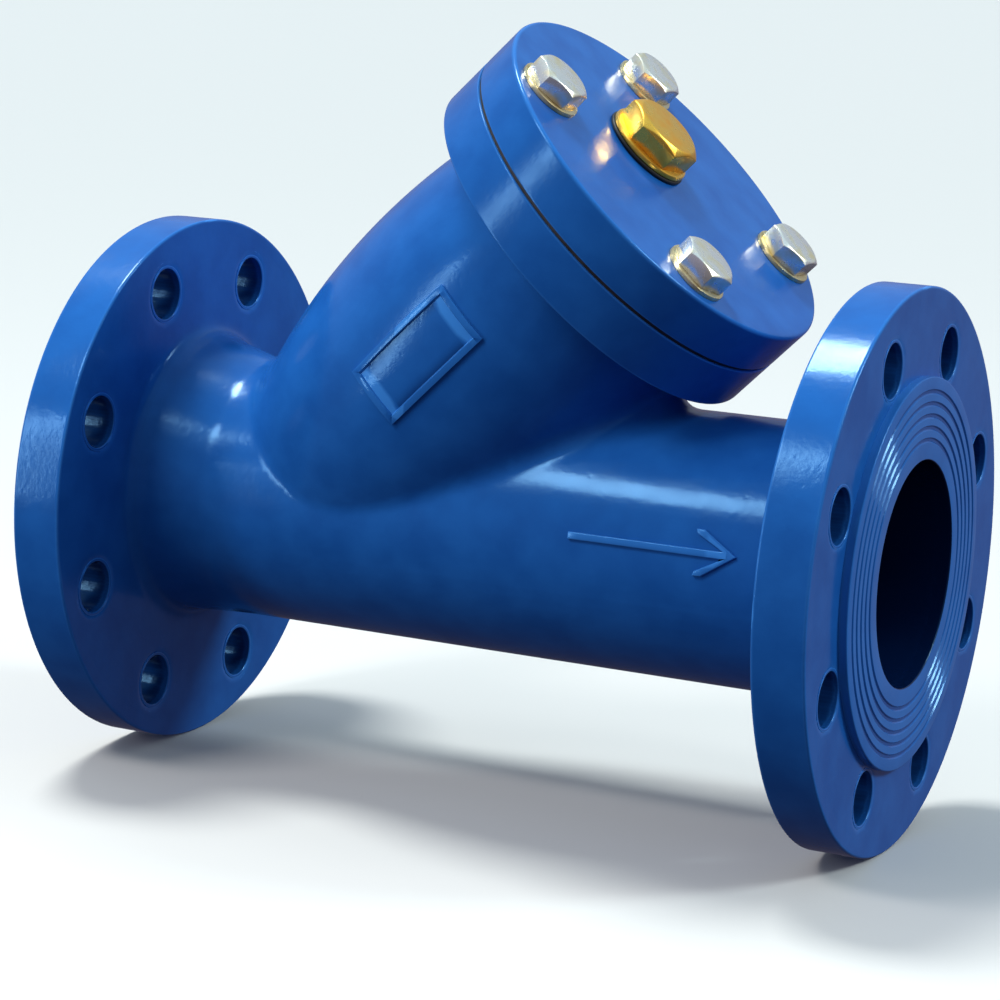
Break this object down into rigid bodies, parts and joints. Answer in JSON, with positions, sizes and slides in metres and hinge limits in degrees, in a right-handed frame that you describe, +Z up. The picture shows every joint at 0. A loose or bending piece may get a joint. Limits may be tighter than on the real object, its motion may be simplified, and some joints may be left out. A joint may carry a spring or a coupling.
{
  "type": "flanged y-strainer",
  "caption": "Blue cast-iron flanged Y-pattern mesh strainer with a bolted round cover, brass drain plug and removable perforated screen.",
  "frame": {"origin": "centre of the inlet flange's raised face, on the axis of the run", "axes": "+X along the run from inlet to outlet, +Z towards the side of the branch and its cover, +Y to the left of the flow seen with +Z up, which is away from the viewer of the picture"},
  "size_m": [0.31, 0.2, 0.281],
  "materials": {
    "enamel": "gloss",
    "zinc": "zinc plated, satin",
    "brass": "turned, satin",
    "seal": "matte",
    "gasket_sheet": "matte",
    "stainless": "satin"
  },
  "bodies": {
    "body": {"body": "enamel"},
    "screen": {"screen_tube": "stainless", "screen_mesh": "stainless", "screen_seat_ring": "stainless", "screen_top_ring": "stainless"},
    "gasket": {"cover_gasket": "gasket_sheet"},
    "cover": {"cover": "enamel"},
    "washer_1": {"bolt_washer_1": "zinc"},
    "bolt_1": {"cover_bolt_1": "zinc"},
    "washer_2": {"bolt_washer_2": "zinc"},
    "bolt_2": {"cover_bolt_2": "zinc"},
    "washer_3": {"bolt_washer_3": "zinc"},
    "bolt_3": {"cover_bolt_3": "zinc"},
    "washer_4": {"bolt_washer_4": "zinc"},
    "bolt_4": {"cover_bolt_4": "zinc"},
    "plug_seal": {"drain_plug_seal": "seal"},
    "plug": {"drain_plug": "brass"}
  },
  "joints": [
    {"name": "cover_lift", "type": "slide", "parent": "body", "child": "cover", "axis": [0.7071, 0, 0.7071], "range_m": [0, 0.33]},
    {"name": "screen_draw", "type": "slide", "parent": "body", "child": "screen", "axis": [0.7071, 0, 0.7071], "range_m": [0, 0.165]},
    {"name": "gasket_lift", "type": "slide", "parent": "body", "child": "gasket", "axis": [0.7071, 0, 0.7071], "range_m": [0, 0.297]},
    {"name": "washer_1_lift", "type": "slide", "parent": "cover", "child": "washer_1", "axis": [0.7071, 0, 0.7071], "range_m": [0, 0.03675]},
    {"name": "bolt_1_turn", "type": "hinge", "parent": "washer_1", "child": "bolt_1", "pos_m": [0.23781, 0.04101, 0.10111], "axis": [0.7071, 0, 0.7071], "range_deg": [0, 7560]},
    {"name": "washer_2_lift", "type": "slide", "parent": "cover", "child": "washer_2", "axis": [0.7071, 0, 0.7071], "range_m": [0, 0.03675]},
    {"name": "bolt_2_turn", "type": "hinge", "parent": "washer_2", "child": "bolt_2", "pos_m": [0.17981, 0.04101, 0.15911], "axis": [0.7071, 0, 0.7071], "range_deg": [0, 7560]},
    {"name": "washer_3_lift", "type": "slide", "parent": "cover", "child": "washer_3", "axis": [0.7071, 0, 0.7071], "range_m": [0, 0.03675]},
    {"name": "bolt_3_turn", "type": "hinge", "parent": "washer_3", "child": "bolt_3", "pos_m": [0.17981, -0.04101, 0.15911], "axis": [0.7071, 0, 0.7071], "range_deg": [0, 7560]},
    {"name": "washer_4_lift", "type": "slide", "parent": "cover", "child": "washer_4", "axis": [0.7071, 0, 0.7071], "range_m": [0, 0.03675]},
    {"name": "bolt_4_turn", "type": "hinge", "parent": "washer_4", "child": "bolt_4", "pos_m": [0.23781, -0.04101, 0.10111], "axis": [0.7071, 0, 0.7071], "range_deg": [0, 7560]},
    {"name": "plug_seal_lift", "type": "slide", "parent": "cover", "child": "plug_seal", "axis": [0.7071, 0, 0.7071], "range_m": [0, 0.02]},
    {"name": "plug_turn", "type": "hinge", "parent": "plug_seal", "child": "plug", "pos_m": [0.19961, 0, 0.1393], "axis": [0.7071, 0, 0.7071], "range_deg": [0, 4000]}
  ],
  "couplings": [
    {"joint": "screen_draw", "follows": "cover_lift", "ratio": 0.5},
    {"joint": "gasket_lift", "follows": "cover_lift", "ratio": 0.9},
    {"joint": "bolt_1_turn", "follows": "washer_1_lift", "rad_per_m": 3590.4},
    {"joint": "bolt_2_turn", "follows": "washer_2_lift", "rad_per_m": 3590.4},
    {"joint": "bolt_3_turn", "follows": "washer_3_lift", "rad_per_m": 3590.4},
    {"joint": "bolt_4_turn", "follows": "washer_4_lift", "rad_per_m": 3590.4},
    {"joint": "plug_turn", "follows": "plug_seal_lift", "rad_per_m": 3463.7}
  ]
}
